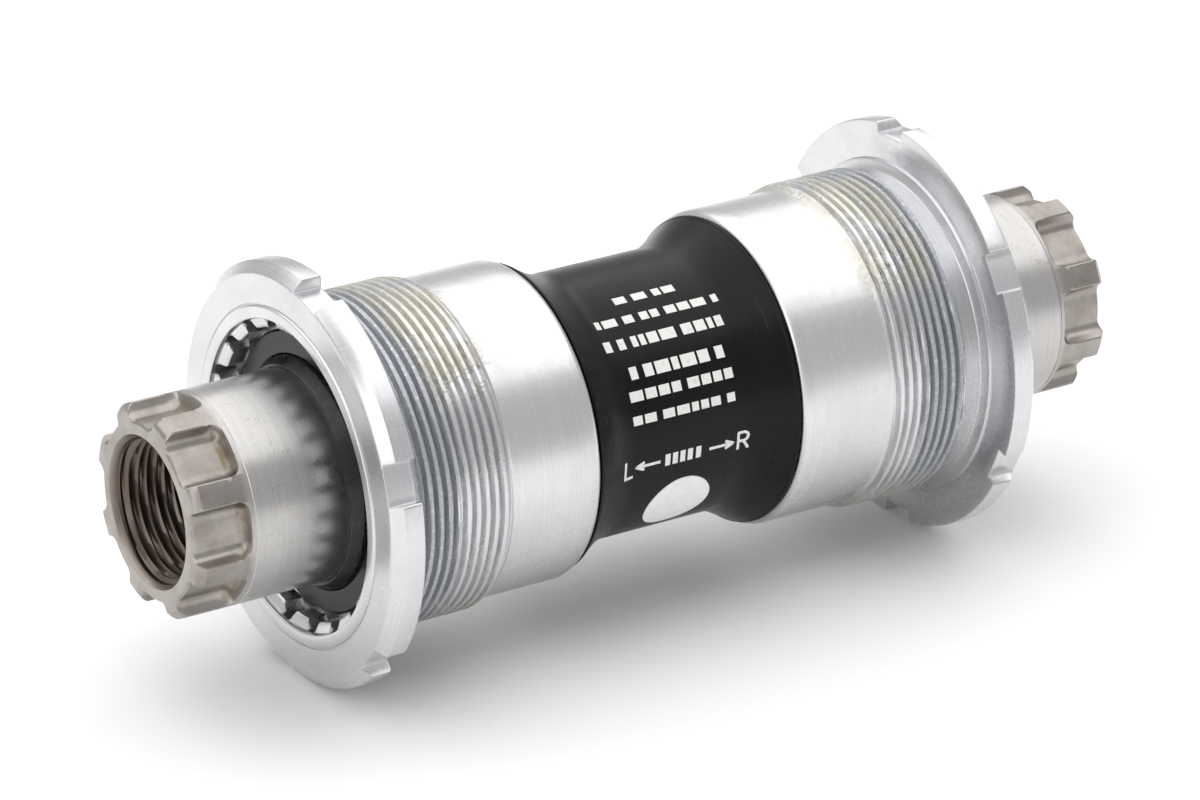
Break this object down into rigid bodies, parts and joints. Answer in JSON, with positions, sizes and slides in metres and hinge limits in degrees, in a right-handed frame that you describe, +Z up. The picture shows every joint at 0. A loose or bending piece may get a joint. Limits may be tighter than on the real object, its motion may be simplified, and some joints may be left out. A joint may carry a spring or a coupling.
{
  "type": "bottom bracket",
  "caption": "Splined cartridge bottom bracket: hollow spindle turning in a sealed bearing cartridge with two notched, threaded shell adapters.",
  "frame": {"origin": "middle of the spindle axis, which is the centre of the bounding box", "axes": "+X along the spindle axis towards the right side, +Z up, +Y away from the viewer"},
  "size_m": [0.1094, 0.044, 0.044],
  "materials": {
    "anodised_aluminium": "satin anodised, turned",
    "black_sleeve": "satin gloss",
    "seal_rubber": "smooth",
    "cap_plastic": "gloss",
    "label_film": "matte film",
    "spindle_steel": "ground",
    "cage_brass": "satin",
    "bearing_steel": "polished"
  },
  "bodies": {
    "cartridge": {"left_adapter": "anodised_aluminium", "right_adapter": "anodised_aluminium", "center_sleeve": "black_sleeve", "left_needle_race": "bearing_steel", "right_needle_race": "bearing_steel", "left_ball_cup": "bearing_steel", "right_ball_cup": "bearing_steel", "left_dust_cap": "cap_plastic", "right_dust_cap": "cap_plastic", "left_lip_seal": "seal_rubber", "right_lip_seal": "seal_rubber", "left_sleeve_ring": "seal_rubber", "right_sleeve_ring": "seal_rubber", "inspection_label": "label_film"},
    "spindle": {"spindle": "spindle_steel", "left_bearing_cone": "bearing_steel", "left_lock_nut": "bearing_steel", "right_bearing_cone": "bearing_steel", "right_retaining_ring": "bearing_steel"},
    "left_needle_set": {"left_needle_cage": "cage_brass", "left_needles": "bearing_steel"},
    "right_needle_set": {"right_needle_cage": "cage_brass", "right_needles": "bearing_steel"},
    "left_ball_set": {"left_ball_cage": "cage_brass", "left_balls": "bearing_steel"},
    "right_ball_set": {"right_ball_cage": "cage_brass", "right_balls": "bearing_steel"}
  },
  "joints": [
    {"name": "spindle_spin", "type": "hinge", "parent": "cartridge", "child": "spindle", "pos_m": [0, 0, 0], "axis": [1, 0, 0], "continuous": true},
    {"name": "left_needle_orbit", "type": "hinge", "parent": "cartridge", "child": "left_needle_set", "pos_m": [0, 0, 0], "axis": [1, 0, 0], "continuous": true},
    {"name": "right_needle_orbit", "type": "hinge", "parent": "cartridge", "child": "right_needle_set", "pos_m": [0, 0, 0], "axis": [1, 0, 0], "continuous": true},
    {"name": "left_ball_orbit", "type": "hinge", "parent": "cartridge", "child": "left_ball_set", "pos_m": [0, 0, 0], "axis": [1, 0, 0], "continuous": true},
    {"name": "right_ball_orbit", "type": "hinge", "parent": "cartridge", "child": "right_ball_set", "pos_m": [0, 0, 0], "axis": [1, 0, 0], "continuous": true}
  ],
  "couplings": [
    {"joint": "left_needle_orbit", "follows": "spindle_spin", "ratio": 0.45757},
    {"joint": "right_needle_orbit", "follows": "spindle_spin", "ratio": 0.45757},
    {"joint": "left_ball_orbit", "follows": "spindle_spin", "ratio": 0.45274},
    {"joint": "right_ball_orbit", "follows": "spindle_spin", "ratio": 0.45274}
  ]
}
